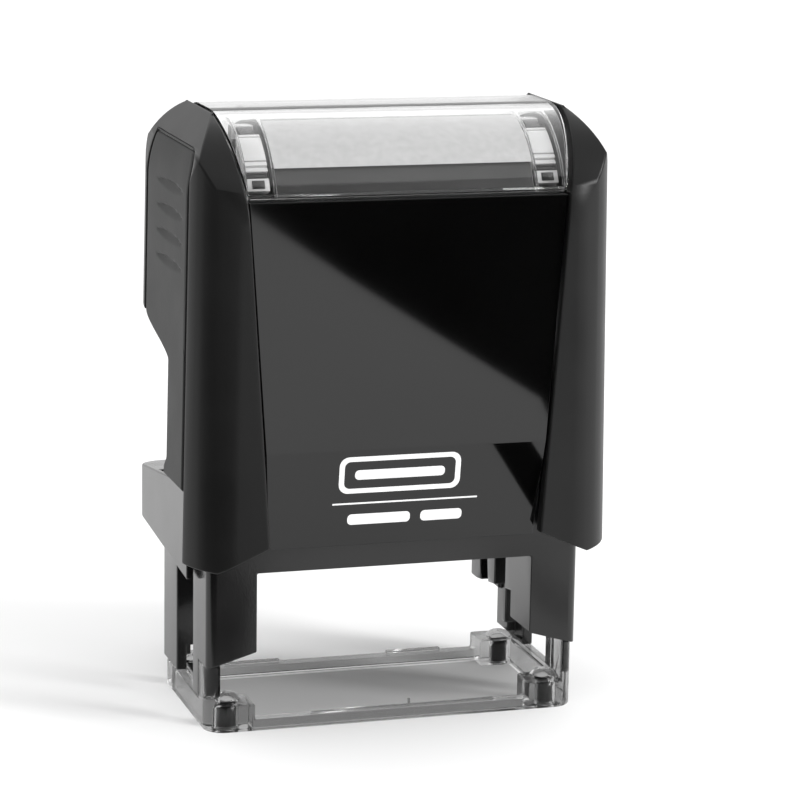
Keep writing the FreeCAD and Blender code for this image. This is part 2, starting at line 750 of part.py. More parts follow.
def grip_outline(label, side, gap):
    """The side area that a grip panel fills, less a gap all round, right out past the side."""
    body = new_body(label)
    x = side_x(side, "cap_half_width-over", "cap_half_width+2*over")
    corners = [(at(f"-column_back+{gap}"), f"panel_low-over+{gap}"),
               (at(f"grip_rear-{gap}"), f"panel_low-over+{gap}"),
               (at(f"grip_rear-{gap}"), f"grip_top-{gap}"), (at(f"-column_back+{gap}"), f"grip_top-{gap}")]
    prism(body, "x", x[0], x[1], corners)
    top, front = value(f"grip_top-{gap}"), value(at(f"-column_back+{gap}"))
    soften(body, "grip_round", lambda edge: runs_along(edge, "x") and
           math.hypot(edge.CenterOfMass.y - front, edge.CenterOfMass.z - top) < SAME_SPOT)
    return body


def make_grip_panels():
    core = front_view("grip_core", "grip_depth")
    floor = front_view("groove_floor", "groove_depth")
    outside = front_view("grip_outside", "0")
    for name, side in SIDES:
        plate = grip_outline(f"{name}_grip_plate", side, "fit_gap")
        outline = side_profile(f"{name}_grip_view", "0", "cap_low", "cap_arc", "cap_half_width+2*over", True)
        blank = boolean("Common", f"{name}_grip_blank", [plate, outline, outside])
        grooves = subtract(f"{name}_grooves", make_grooves(name, side), floor)
        cutter = boolean("Fuse", f"{name}_grip_cutter", [core, grooves])
        keep(f"{name}_grip_panel", subtract(f"{name}_grip_panel", blank, cutter))


def make_grooves(name, side):
    """Level bars, one above another, which cut a panel's finger grooves."""
    body = new_body(f"{name}_groove_bars")
    x = side_x(side, "cap_half_width-over", "cap_half_width+2*over")
    for step in range(GROOVES):
        top = f"groove_first-{step}*groove_step"
        block(body, x, (at("-groove_front"), at("groove_rear")), (f"{top}-groove_height", top))
    return body


def make_gloss_panel():
    body = new_body("gloss_slab")
    faces = [(at("-gloss_low_face"), "gloss_low"), (at("-gloss_ridge_face"), "gloss_ridge"),
             (at("-gloss_top_face"), "cap_deck_top-fit_gap")]
    back = [(at("-gloss_top_face+gloss_thick"), "cap_deck_low-fit_gap"),
            (at("-gloss_ridge_face+gloss_thick"), "gloss_ridge"),
            (at("-gloss_low_face+gloss_thick"), "gloss_low")]
    front_top = [(at("-gloss_top_face+gloss_thick/2"), "cap_deck_top-fit_gap"),
                 (at("-gloss_top_face+gloss_thick/2"), "cap_deck_low-fit_gap")]
    prism(body, "x", "-window_sill_half", "window_sill_half", faces + front_top + back)
    view = new_body("gloss_view")
    gap = "fit_gap"
    outline = flare(f"opening_low_half-{gap}", "gloss_low", f"window_sill_half-{gap}", "cap_deck_top+over/2")
    prism(view, "y", at("-cap_half_depth-over"), at("0"), outline)
    return keep("front_gloss_panel", boolean("Common", "front_gloss_panel", [body, view]))


def curved_cover(label, inset, thick, low, half_low, half_high):
    """A curved strip under the cap's top outline, thick mm through, between the cheeks."""
    foot = "cap_top-cap_arc-2*over"
    outer = side_profile(f"{label}_outer", inset, foot, f"cap_arc-({inset})", "cap_half_width")
    below = f"{inset}+{thick}"
    inner = side_profile(f"{label}_inner", below, f"{foot}-over", f"cap_arc-({below})", "cap_half_width+over")
    strip = subtract(f"{label}_strip", outer, inner)
    view = new_body(f"{label}_view")
    outline = flare(half_low, low, half_high, "cap_top")
    prism(view, "y", at("-cap_half_depth-over"), at("cap_half_depth+over"), outline)
    return boolean("Common", label, [strip, view])


def make_window_set():
    gap = "2*fit_gap"
    window = curved_cover("index_window", "window_inset", "window_thick", "window_low",
                          f"window_sill_half-{gap}", f"window_top_half-{gap}")
    keep("index_window", window)
    card = "window_inset+window_thick+card_gap"
    card_strip = curved_cover("whole_card", card, "card_thick", "card_low", "card_half", "card_half")
    seat = curved_cover("seat_strip", f"{card}+card_thick", "seat_thick", "cap_deck_top",
                        "card_half", "card_half")
    rib = new_body("card_rib")
    block(rib, ("-card_half", "card_half"), (at("-rib_place-rib_half"), at("-rib_place+rib_half")),
          (f"cap_top-({card}+card_thick+seat_thick/2)", f"cap_top-({card}+card_thick/2)"))
    keep("card_seat", boolean("Fuse", "card_seat", [seat, rib]))
    split = (("index_card", "-cap_half_depth-over", "-rib_place-rib_half"),
             ("rear_card", "-rib_place+rib_half", "cap_half_depth+over"))
    for label, front, back in split:
        room = new_body(f"{label}_room")
        block(room, ("-card_half-over", "card_half+over"), (at(front), at(back)), ("cap_deck_top", "cap_top"))
        keep(label, boolean("Common", label, [card_strip, room]))
    for name, side in SIDES:
        make_latch(name, side)


def make_latch(name, side):
    """A clear arched clip that holds one end of the window down."""
    body = new_body(f"{name}_window_latch")
    x = side_x(side, "latch_inner", "latch_outer")
    outer = [("latch_foot", "cap_deck_top"), ("latch_foot", "latch_foot_top"),
             ("latch_bend", "latch_bend_top"), ("latch_crown", "latch_crown_top")]
    inner = [("latch_crown-latch_thick/2", "latch_crown_top-latch_thick"),
             ("latch_bend-latch_thick", "latch_bend_top-latch_thick"),
             ("latch_foot-latch_thick", "latch_foot_top-latch_thick/2"),
             ("latch_foot-latch_thick", "cap_deck_top")]
    rear = [(at(y), z) for y, z in outer]
    front = [(at(f"-({y})"), z) for y, z in reversed(outer)]
    front_inside = [(at(f"-({y})"), z) for y, z in reversed(inner)]
    rear_inside = [(at(y), z) for y, z in inner]
    prism(body, "x", x[0], x[1], rear + front + front_inside + rear_inside)
    keep(f"{name}_window_latch", body)


def make_spring_posts():
    for name, side in SIDES:
        body = new_body(f"{name}_spring_post")
        centre = (f"{side}*well_across", at("-well_along"))
        disc(body, "z", "cap_deck_low-post_length", "cap_deck_low", centre, "post_radius")
        keep(f"{name}_spring_post", body)


def check_document():
    for thing in doc.Objects:
        if "Invalid" in thing.State or "Error" in thing.State:
            raise RuntimeError(f"{thing.Label} failed: {thing.State}")
    for label, thing in nodes.items():
        if thing.Shape.isNull() or not thing.Shape.isValid():
            raise RuntimeError(f"{label} has no valid shape")


def write_parts():
    os.makedirs("parts", exist_ok=True)
    for label, thing in nodes.items():
        thing.Shape.exportStep(f"parts/{label}.step")
        box = thing.Shape.BoundBox
        solids = len(thing.Shape.Solids)
        print(f"{label:22s} {solids} solid  {thing.Shape.Volume:9.2f} mm3  "
              f"X {box.XMin:.2f}..{box.XMax:.2f}  Y {box.YMin:.2f}..{box.YMax:.2f}  "
              f"Z {box.ZMin:.2f}..{box.ZMax:.2f}")


make_base()
make_base_pins()
make_frame()
make_cartridge()
make_pad()
make_die()
make_axles()
make_arms()
make_springs()
make_cap_shell()
make_grip_panels()
make_gloss_panel()
make_window_set()
make_spring_posts()
doc.recompute()
check_document()
write_parts()
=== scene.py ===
import json
import math

import bmesh
import bpy
from mathutils import Matrix, Vector, noise as random_field


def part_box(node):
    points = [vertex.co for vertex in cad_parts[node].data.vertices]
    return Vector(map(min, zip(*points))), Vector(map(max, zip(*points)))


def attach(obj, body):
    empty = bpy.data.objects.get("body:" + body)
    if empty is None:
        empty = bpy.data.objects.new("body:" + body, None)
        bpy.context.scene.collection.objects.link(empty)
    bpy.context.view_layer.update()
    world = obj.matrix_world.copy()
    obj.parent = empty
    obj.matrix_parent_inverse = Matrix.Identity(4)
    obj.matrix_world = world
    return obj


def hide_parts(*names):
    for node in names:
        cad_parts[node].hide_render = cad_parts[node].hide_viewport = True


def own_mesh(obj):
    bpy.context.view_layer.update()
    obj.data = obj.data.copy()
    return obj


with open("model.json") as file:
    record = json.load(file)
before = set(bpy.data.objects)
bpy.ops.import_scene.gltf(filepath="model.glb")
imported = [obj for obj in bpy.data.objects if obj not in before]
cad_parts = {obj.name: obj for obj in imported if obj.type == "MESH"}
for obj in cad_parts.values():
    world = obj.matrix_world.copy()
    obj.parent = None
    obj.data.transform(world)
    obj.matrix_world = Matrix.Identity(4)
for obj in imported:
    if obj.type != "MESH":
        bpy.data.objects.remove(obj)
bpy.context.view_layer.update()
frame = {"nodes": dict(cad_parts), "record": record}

MM = 0.001

# ---- camera, lights and floor -------------------------------------------------------------------

CAMERA_PLACE = Vector((-86.19, -289.07, 94.26)) * MM
CAMERA_TURN = 0.301473
CAMERA_TILT = 0.215051
CAMERA_ROLL = 0.016794
FOCAL_LENGTH = 145.7


# The floor lies a hair under the base, so that their faces don't coincide.
FLOOR_LEVEL = -0.02 * MM
SHADE_INSET = 1.6 * MM
# Outlines of the dark cards on the floor, across and along, in millimetres. Together they leave bright
# the part of the floor that the gloss panel's lower left reflects.
DARK_NEAR = ((25.5, -38), (25.5, -62), (30, -62), (30, -38))
DARK_RIGHT = ((62, -146), (67, -165), (69, -215), (72, -282), (85, -500), (500, -500), (500, -146))
DARK_LEFT = ((-9, -28), (-4, -44), (-1, -60), (6, -148), (30, -290), (-600, -290), (-600, -28))
SKY_EVEN = 0.75
SKY_FRONT = 0.03
SKY_BACK = 0.9
SUN_STRENGTH = 1.5
SUN_SPREAD = math.radians(110)
SUN_PLACE = (0.05, 0.1, 1.0)
KEY_PLACE = (0.45, -0.35, 0.25)
KEY_TARGET = (0, 0, 0.03)
KEY_WIDTH, KEY_HEIGHT, KEY_WATTS = 0.12, 0.3, 2.6


def camera_axes():
    """The camera's right, up and forward directions, from its turn, tilt and roll."""
    forward = Vector((math.sin(CAMERA_TURN) * math.cos(CAMERA_TILT),
                      math.cos(CAMERA_TURN) * math.cos(CAMERA_TILT),
                      -math.sin(CAMERA_TILT)))
    right = Vector((math.cos(CAMERA_TURN), -math.sin(CAMERA_TURN), 0))
    up = right.cross(forward)
    cos_roll, sin_roll = math.cos(CAMERA_ROLL), math.sin(CAMERA_ROLL)
    return right * cos_roll + up * sin_roll, up * cos_roll - right * sin_roll, forward


def make_camera():
    data = bpy.data.cameras.new("camera")
    data.lens = FOCAL_LENGTH
    data.sensor_width = 36
    data.clip_start = 0.01
    camera = bpy.data.objects.new("camera", data)
    right, up, forward = camera_axes()
    turn = Matrix((right, up, -forward)).transposed()
    camera.matrix_world = Matrix.Translation(CAMERA_PLACE) @ turn.to_4x4()
    bpy.context.scene.collection.objects.link(camera)
    bpy.context.scene.camera = camera


def aim(thing, place, target):
    direction = Vector(target) - Vector(place)
    thing.location = place
    thing.rotation_euler = direction.to_track_quat("-Z", "Y").to_euler()


def softbox(name, place, target, width, height, watts):
    data = bpy.data.lights.new(name, "AREA")
    data.shape = "RECTANGLE"
    data.size = width
    data.size_y = height
    data.energy = watts
    light = bpy.data.objects.new(name, data)
    aim(light, place, target)
    light.visible_camera = False
    bpy.context.scene.collection.objects.link(light)


def overhead(strength, spread, place):
    """A broad, even light from above, which leaves the floor under the stamp in shade."""
    data = bpy.data.lights.new("overhead", "SUN")
    data.energy = strength
    data.angle = spread
    light = bpy.data.objects.new("overhead", data)
    aim(light, place, (0, 0, 0))
    bpy.context.scene.collection.objects.link(light)


def make_floor():
    bpy.ops.mesh.primitive_plane_add(size=8)
    floor = bpy.context.object
    floor.name = "floor"
    material, shader, _ = blank_material("floor_white")
    shader.inputs["Base Color"].default_value = grey(0.86)
    shader.inputs["Roughness"].default_value = 0.95
    shader.inputs["Specular IOR Level"].default_value = 0.0
    floor.data.materials.append(material)
    floor.location.z = FLOOR_LEVEL


def make_painted_floor_shade():
    """A grey sheet laid on the floor inside the base, which darkens what is seen through it: painted shade
    for the floor in the shadow of the stamp's body.
    """
    low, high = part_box("base_window")
    inset = SHADE_INSET
    height = FLOOR_LEVEL / 2
    mesh = bpy.data.meshes.new("painted_floor_shade")
    corners = ((low.x + inset, low.y + inset), (high.x - inset, low.y + inset),
               (high.x - inset, high.y - inset), (low.x + inset, high.y - inset))
    mesh.from_pydata([(x, y, height) for x, y in corners], [], [(0, 1, 2, 3)])
    sheet = bpy.data.objects.new("painted_floor_shade", mesh)
    material, shader, _ = blank_material("painted_floor_shade")
    # The sheet's grey is painted shade, not the floor's own colour.
    shader.inputs["Base Color"].default_value = grey(0.5)
    shader.inputs["Roughness"].default_value = 0.95
    shader.inputs["Specular IOR Level"].default_value = 0.0
    mesh.materials.append(material)
    bpy.context.scene.collection.objects.link(sheet)


def dark_card(name, corners):
    """A black card on the floor beside the stamp, which only reflections show."""
    height = 0.4 * MM
    mesh = bpy.data.meshes.new(name)
    mesh.from_pydata([(x * MM, y * MM, height) for x, y in corners], [], [range(len(corners))])
    card = bpy.data.objects.new(name, mesh)
    material, shader, _ = blank_material(name)
    shader.inputs["Base Color"].default_value = grey(0.0)
    shader.inputs["Roughness"].default_value = 1.0
    shader.inputs["Specular IOR Level"].default_value = 0.0
    mesh.materials.append(material)
    bpy.context.scene.collection.objects.link(card)
    card.visible_camera = False
    card.visible_diffuse = False
    card.visible_shadow = False
    card.visible_transmission = False


def make_world(even, front, back):
    """An even studio light, which reflections see as bright behind the stamp and dim in front."""
    world = bpy.data.worlds.new("studio")
    bpy.context.scene.world = world
    world.use_nodes = True
    tree = world.node_tree
    direction = tree.nodes.new("ShaderNodeTexCoord").outputs["Generated"]
    axes = tree.nodes.new("ShaderNodeSeparateXYZ")
    tree.links.new(direction, axes.inputs[0])
    spread = tree.nodes.new("ShaderNodeMapRange")
    spread.inputs["From Min"].default_value = -0.1
    spread.inputs["From Max"].default_value = 0.7
    spread.inputs["To Min"].default_value = front
    spread.inputs["To Max"].default_value = back
    tree.links.new(axes.outputs["Y"], spread.inputs["Value"])
    choice = tree.nodes.new("ShaderNodeMix")
    choice.data_type = "FLOAT"
    choice.inputs["A"].default_value = even
    tree.links.new(tree.nodes.new("ShaderNodeLightPath").outputs["Is Glossy Ray"], choice.inputs["Factor"])
    tree.links.new(spread.outputs["Result"], choice.inputs["B"])
    tree.nodes["Background"].inputs["Color"].default_value = grey(1.0)
    tree.links.new(choice.outputs["Result"], tree.nodes["Background"].inputs["Strength"])


# ---- materials ----------------------------------------------------------------------------------

def blank_material(name):
    material = bpy.data.materials.new(name)
    material.use_nodes = True
    tree = material.node_tree
    return material, tree.nodes["Principled BSDF"], tree


def noise(tree, scale, detail=4, stretch=None):
    node = tree.nodes.new("ShaderNodeTexNoise")
    node.inputs["Scale"].default_value = scale
    node.inputs["Detail"].default_value = detail
    place = tree.nodes.new("ShaderNodeTexCoord").outputs["Object"]
    if stretch:
        mapping = tree.nodes.new("ShaderNodeMapping")
        mapping.inputs["Scale"].default_value = stretch
        tree.links.new(place, mapping.inputs["Vector"])
        place = mapping.outputs["Vector"]
    tree.links.new(place, node.inputs["Vector"])
    return node


def ramp(tree, source, low, high, colours):
    node = tree.nodes.new("ShaderNodeValToRGB")
    node.color_ramp.elements[0].position = low
    node.color_ramp.elements[1].position = high
    node.color_ramp.elements[0].color = colours[0]
    node.color_ramp.elements[1].color = colours[1]
    tree.links.new(source, node.inputs["Fac"])
    return node


def bump(tree, shader, height, strength, distance):
    node = tree.nodes.new("ShaderNodeBump")
    node.inputs["Strength"].default_value = strength
    node.inputs["Distance"].default_value = distance
    tree.links.new(height, node.inputs["Height"])
    tree.links.new(node.outputs["Normal"], shader.inputs["Normal"])


def grey(level):
    return (level, level, level, 1)


def moulded_plastic(name, dark, light, rough, grain, depth, shine=0.5):
    """Textured moulded plastic: fine grain in the bump, slight mottling in colour and gloss."""
    material, shader, tree = blank_material(name)
    shader.inputs["Specular IOR Level"].default_value = shine
    mottle = noise(tree, 180, 3)
    colour = ramp(tree, mottle.outputs["Fac"], 0.3, 0.7, (grey(dark), grey(light)))
    tree.links.new(colour.outputs["Color"], shader.inputs["Base Color"])
    gloss = ramp(tree, mottle.outputs["Fac"], 0.25, 0.75, (grey(rough - 0.03), grey(rough + 0.03)))
    tree.links.new(gloss.outputs["Color"], shader.inputs["Roughness"])
    bump(tree, shader, noise(tree, grain, 2).outputs["Fac"], 0.35, depth)
    return material


def gloss_black():
    """Polished black, with a faint haze in its gloss and almost no grain."""
    material, shader, tree = blank_material("gloss_black")
    haze = noise(tree, 60, 3)
    colour = ramp(tree, haze.outputs["Fac"], 0.3, 0.7, (grey(0.0012), grey(0.002)))
    tree.links.new(colour.outputs["Color"], shader.inputs["Base Color"])
    gloss = ramp(tree, haze.outputs["Fac"], 0.3, 0.7, (grey(0.03), grey(0.045)))
    tree.links.new(gloss.outputs["Color"], shader.inputs["Roughness"])
    shader.inputs["IOR"].default_value = 1.52
    return material


def clear_plastic(name, tint, rough, bending=1.49, clarity=1.0):
    """Clear or smoky plastic, with a little haze that varies over it."""
    material, shader, tree = blank_material(name)
    shader.inputs["Base Color"].default_value = grey(tint)
    shader.inputs["Transmission Weight"].default_value = clarity
    shader.inputs["IOR"].default_value = bending
    haze = ramp(tree, noise(tree, 90, 2).outputs["Fac"], 0.3, 0.7, (grey(rough * 0.7), grey(rough * 1.3)))
    tree.links.new(haze.outputs["Color"], shader.inputs["Roughness"])
    bump(tree, shader, noise(tree, 240, 2).outputs["Fac"], 0.25, 0.00004)
    return material


def felt():
    material, shader, tree = blank_material("felt_ink")
    fibres = noise(tree, 2600, 6)
    colour = ramp(tree, fibres.outputs["Fac"], 0.3, 0.75, ((0.004, 0.005, 0.02, 1), (0.02, 0.025, 0.09, 1)))
    tree.links.new(colour.outputs["Color"], shader.inputs["Base Color"])
    shader.inputs["Roughness"].default_value = 0.8
    shader.inputs["Sheen Weight"].default_value = 0.3
    bump(tree, shader, fibres.outputs["Fac"], 0.8, 0.0001)
    return material


def foam():
    material, shader, tree = blank_material("foam")
    cells = tree.nodes.new("ShaderNodeTexVoronoi")
    cells.inputs["Scale"].default_value = 3200
    place = tree.nodes.new("ShaderNodeTexCoord").outputs["Object"]
    tree.links.new(place, cells.inputs["Vector"])
    colour = ramp(tree, cells.outputs["Distance"], 0.1, 0.8, ((0.42, 0.38, 0.3, 1), (0.6, 0.56, 0.45, 1)))
    tree.links.new(colour.outputs["Color"], shader.inputs["Base Color"])
    shader.inputs["Roughness"].default_value = 0.85
    bump(tree, shader, cells.outputs["Distance"], 0.6, 0.0001)
    return material


def rubber():
    material, shader, tree = blank_material("rubber_plate")
    mottle = noise(tree, 700, 4)
    colour = ramp(tree, mottle.outputs["Fac"], 0.3, 0.7, ((0.28, 0.045, 0.03, 1), (0.36, 0.07, 0.045, 1)))
    tree.links.new(colour.outputs["Color"], shader.inputs["Base Color"])
    shader.inputs["Roughness"].default_value = 0.6
    bump(tree, shader, noise(tree, 6000, 2).outputs["Fac"], 0.3, 0.00003)
    return material


def steel():
    """Drawn wire: bright, with fine streaks in its gloss."""
    material, shader, tree = blank_material("steel")
    streaks = noise(tree, 1500, 4, (1, 1, 0.2))
    shader.inputs["Metallic"].default_value = 1.0
    colour = ramp(tree, streaks.outputs["Fac"], 0.3, 0.7, (grey(0.48), grey(0.6)))
    tree.links.new(colour.outputs["Color"], shader.inputs["Base Color"])
    gloss = ramp(tree, streaks.outputs["Fac"], 0.3, 0.7, (grey(0.18), grey(0.34)))
    tree.links.new(gloss.outputs["Color"], shader.inputs["Roughness"])
    bump(tree, shader, streaks.outputs["Fac"], 0.2, 0.00002)
    return material


def card():
    """Matt paper with fibres."""
    material, shader, tree = blank_material("card_white")
    fibres = noise(tree, 1400, 6)
    colour = ramp(tree, fibres.outputs["Fac"], 0.3, 0.7, (grey(0.36), grey(0.42)))
    tree.links.new(colour.outputs["Color"], shader.inputs["Base Color"])
    shader.inputs["Roughness"].default_value = 0.7
    bump(tree, shader, fibres.outputs["Fac"], 0.3, 0.00004)
    return material


def white_print():
    """White ink printed on the gloss panel, a little uneven."""
    material, shader, tree = blank_material("white_print")
    blotches = noise(tree, 900, 4)
    colour = ramp(tree, blotches.outputs["Fac"], 0.3, 0.7, (grey(0.74), grey(0.88)))
    tree.links.new(colour.outputs["Color"], shader.inputs["Base Color"])
    shader.inputs["Roughness"].default_value = 0.5
    return material


def make_materials():
    return {
        "matte_black": moulded_plastic("matte_black", 0.0055, 0.007, 0.38, 5200, 0.000012, 0.3),
        "grip_black": moulded_plastic("grip_black", 0.008, 0.011, 0.52, 3600, 0.00003, 0.3),
        "frame_black": moulded_plastic("frame_black", 0.006, 0.008, 0.2, 5200, 0.000012),
        "gloss_black": gloss_black(),
        "smoke_clear": clear_plastic("smoke_clear", 0.45, 0.13, 1.32),
        "window_clear": clear_plastic("window_clear", 0.96, 0.02),
        "latch_clear": clear_plastic("latch_clear", 0.85, 0.08, 1.49, 0.5),
        "felt_ink": felt(),
        "foam": foam(),
        "rubber_plate": rubber(),
        "steel": steel(),
        "card_white": card(),
        "seat_black": moulded_plastic("seat_black", 0.016, 0.022, 0.4, 5200, 0.00002),
        "peg_dark": moulded_plastic("peg_dark", 0.010, 0.014, 0.3, 5200, 0.00002),
    }


# ---- pieces made from the CAD nodes -------------------------------------------------------------

BODY_OF = {node: body for body, names in frame["record"]["behaviour"]["bodies"].items() for node in names}
SLOT_OF = {part["node"]: part["material_slot"] for part in frame["record"]["subparts"]}
FLAT = math.radians(0.6)
SHARP = math.radians(24)
CRISP = math.radians(33)
CAP_BEND = math.radians(40)
CAP_CRISP = math.radians(60)
PANEL_BEND = math.radians(5)
MERGE = 0.004 * MM
CLEAR_SLOTS = ("smoke_clear", "window_clear", "latch_clear")


def link_piece(name, mesh, material, body, slot_name):
    piece = bpy.data.objects.new(name, mesh)
    bpy.context.scene.collection.objects.link(piece)
    mesh.materials.clear()
    mesh.materials.append(material)
    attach(piece, body)
    if slot_name in CLEAR_SLOTS:
        piece.visible_shadow = False
        piece.visible_diffuse = False
    return piece


def finish_smooth(work, mesh, crisp=CRISP):
    """Write the work mesh back with smooth faces and crisp edges where it really bends."""
    bmesh.ops.recalc_face_normals(work, faces=work.faces)
    work.to_mesh(mesh)
    work.free()
    mesh.shade_smooth()
    mesh.set_sharp_from_angle(angle=crisp)


def flatten_faces(piece):
    """Let the broad faces set the shading, so that only the rounded edges look curved."""
    weighting = piece.modifiers.new("flat_faces", "WEIGHTED_NORMAL")
    weighting.keep_sharp = True
    graph = bpy.context.evaluated_depsgraph_get()
    mesh = bpy.data.meshes.new_from_object(piece.evaluated_get(graph))
    piece.modifiers.clear()
    piece.data = mesh


def softened(node, width, segments=2, bend=SHARP, crisp=CRISP):
    """A moulded copy of a CAD node, with its sharp edges rounded, that stands for the node."""
    mesh = frame["nodes"][node].data.copy()
    work = bmesh.new()
    work.from_mesh(mesh)
    bmesh.ops.remove_doubles(work, verts=work.verts, dist=MERGE)
    bmesh.ops.dissolve_limit(work, angle_limit=FLAT, verts=work.verts, edges=work.edges)
    bmesh.ops.triangulate(work, faces=[face for face in work.faces if len(face.verts) > 4])
    sharp = [edge for edge in work.edges if len(edge.link_faces) == 2 and edge.calc_face_angle() > bend]
    bmesh.ops.bevel(work, geom=sharp, offset=width * MM, offset_type="OFFSET", segments=segments,
                    profile=0.5, clamp_overlap=False, affect="EDGES")
    bmesh.ops.remove_doubles(work, verts=work.verts, dist=MERGE / 4)
    finish_smooth(work, mesh, crisp)
    piece = link_piece(node + "_moulded", mesh, MATERIALS[SLOT_OF[node]], BODY_OF[node], SLOT_OF[node])
    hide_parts(node)
    flatten_faces(piece)
    return piece


def fuzzy(node, width, grain, depth):
    """A soft copy of a block: rounded, finely divided and a little uneven, never past its CAD faces."""
    piece = softened(node, width, 3)
    work = bmesh.new()
    work.from_mesh(piece.data)
    bmesh.ops.triangulate(work, faces=work.faces)
    for _ in range(4):
        long_edges = [edge for edge in work.edges if edge.calc_length() > grain * MM]
        bmesh.ops.subdivide_edges(work, edges=long_edges, cuts=1, use_grid_fill=True)
        bmesh.ops.triangulate(work, faces=work.faces)
    work.normal_update()
    for vert in work.verts:
        dent = 0.5 + 0.5 * random_field.noise(vert.co / (grain * MM))
        vert.co -= vert.normal * depth * MM * dent
    finish_smooth(work, piece.data)


def dress(node):
    thing = frame["nodes"][node]
    thing.data.materials.clear()
    thing.data.materials.append(MATERIALS[SLOT_OF[node]])


# ---- return springs ----------------------------------------------------------------------------

def make_springs():
    """Copies of the return springs, which stand for the CAD springs."""
    press = [joint for joint in frame["record"]["behaviour"]["joints"] if joint["name"] == "cap_press"][0]
    for spring in press["deforming_nodes"]:
        node, foot = spring["node"], spring["fixed_end_z_m"]
        mesh = frame["nodes"][node].data.copy()
        mesh.shade_smooth()
        mesh.set_sharp_from_angle(angle=SHARP)
        piece = link_piece(node + "_coiled", mesh, MATERIALS[SLOT_OF[node]], BODY_OF[node], SLOT_OF[node])
        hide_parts(node)
        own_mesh(piece)


# ---- grip panels --------------------------------------------------------------------------------

LEAN = 0.017
CAP_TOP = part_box("cap_shell")[1].z + 0.31 * MM
CAP_HALF_TOP = 19.8 * MM
SHOULDER_RADIUS = 10.4 * MM
SHOULDER_START = 49.9 * MM
GRIP_THICK = 0.46 * MM
GRIP_CORNER = 2.4 * MM
GRIP_BORDER = 0.35 * MM
WAIST_HEIGHT = 35.6 * MM
WAIST_SPREAD = 3.0 * MM
TAIL_WIDTH = 7.6 * MM
TAIL_STEP = 1.0 * MM
TAIL_STEP_HEIGHT = 24.4 * MM
TAIL_STEP_SPREAD = 1.4 * MM
GRIP_ROWS = 200
GRIP_COLUMNS = 72
GROOVES = 4
GROOVE_FIRST = 50.2 * MM
GROOVE_STEP = 2.35 * MM
GROOVE_DEPTH = 0.32 * MM
GROOVE_MIDDLE = 0.42
GROOVE_REACH = 0.36
GROOVE_RISE = 0.5 * MM
GROOVE_FALL = 1.0 * MM


def side_at(height):
    """How far out the cap's side stands at a height: it leans in, then rounds over at the shoulder."""
    reach = CAP_HALF_TOP + LEAN * (CAP_TOP - height)
    rise = max(0.0, height - SHOULDER_START)
    return reach - (SHOULDER_RADIUS - math.sqrt(SHOULDER_RADIUS ** 2 - rise ** 2))


def smooth(edge, spread, place):
    """0 before the edge and 1 after it, rising smoothly over the spread."""
    share = min(1.0, max(0.0, (place - edge) / spread + 0.5))
    return share * share * (3 - 2 * share)


def grip_rear(height, low, high):
    """The panel's rear edge: a narrow tail that widens in a curve into the finger grip."""
    waist = smooth(WAIST_HEIGHT, WAIST_SPREAD, height)
    foot = TAIL_STEP * smooth(TAIL_STEP_HEIGHT, TAIL_STEP_SPREAD, height)
    tail = low.y + TAIL_WIDTH - foot
    return tail + (high.y - tail) * waist


def grip_front(height, low, high):
    """The panel's front edge: upright, then rounded over into the top edge."""
    rise = max(0.0, height - (high.z - GRIP_CORNER))
    return low.y + GRIP_CORNER - math.sqrt(GRIP_CORNER ** 2 - min(rise, GRIP_CORNER) ** 2)


def groove_dent(across, height):
    """How deep a crescent groove is: a crisp upper lip that fades out below, narrow at both ends."""
    dent = 0.0
    for number in range(GROOVES):
        reach = (across - GROOVE_MIDDLE) / GROOVE_REACH
        if abs(reach) >= 1:
            continue
        lip = GROOVE_FIRST - number * GROOVE_STEP + GROOVE_RISE * (1 - reach * reach)
        fall = GROOVE_FALL * (1 - reach * reach)
        below = lip - height
        if 0 < below < fall:
            dent = max(dent, (1 - below / fall) * smooth(0.1 * MM, 0.2 * MM, below) * (1 - reach ** 4))
    return dent * GROOVE_DEPTH


def make_grip(name, side):
    """A thin grained panel let into the side: a height field with rounded borders and finger grooves."""
    node = name + "_grip_panel"
    low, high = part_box(node)
    work = bmesh.new()
    rows = []
    for row in range(GRIP_ROWS + 1):
        height = low.z + (high.z - low.z) * row / GRIP_ROWS
        front, rear = grip_front(height, low, high), grip_rear(height, low, high)
        line = []
        for column in range(GRIP_COLUMNS + 1):
            share = column / GRIP_COLUMNS
            y = front + (rear - front) * share
            inside = min(y - front, rear - y, height - low.z, high.z - height)
            round_over = (1 - min(1.0, inside / GRIP_BORDER)) ** 2 * GRIP_THICK
            x = side_at(height) - 0.02 * MM - round_over - groove_dent(share, height)
            line.append(work.verts.new((side * x, y, height)))
        rows.append(line)
    for lower, upper in zip(rows, rows[1:]):
        for i in range(GRIP_COLUMNS):
            work.faces.new((lower[i], lower[i + 1], upper[i + 1], upper[i]))
    mesh = bpy.data.meshes.new(node)
    rim = [edge for edge in work.edges if edge.is_boundary]
    lip = bmesh.ops.extrude_edge_only(work, edges=rim)["geom"]
    for vert in lip:
        if isinstance(vert, bmesh.types.BMVert):
            vert.co.x -= side * 0.03 * MM
    finish_smooth(work, mesh)
    piece = link_piece(node + "_moulded", mesh, MATERIALS["grip_black"], BODY_OF[node], "grip_black")
    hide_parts(node)


# ---- index window -------------------------------------------------------------------------------

MIDDLE_Y = (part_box("index_window")[0].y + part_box("index_window")[1].y) / 2
ARC_Y = 1.9 * MM
ARC_Z = CAP_TOP - 10.4 * MM


def arc_place(radius, angle):
    """A point of the window's front arc, in the stamp's side view; angle 0 faces the front."""
    return MIDDLE_Y - ARC_Y - radius * math.cos(angle), ARC_Z + radius * math.sin(angle)


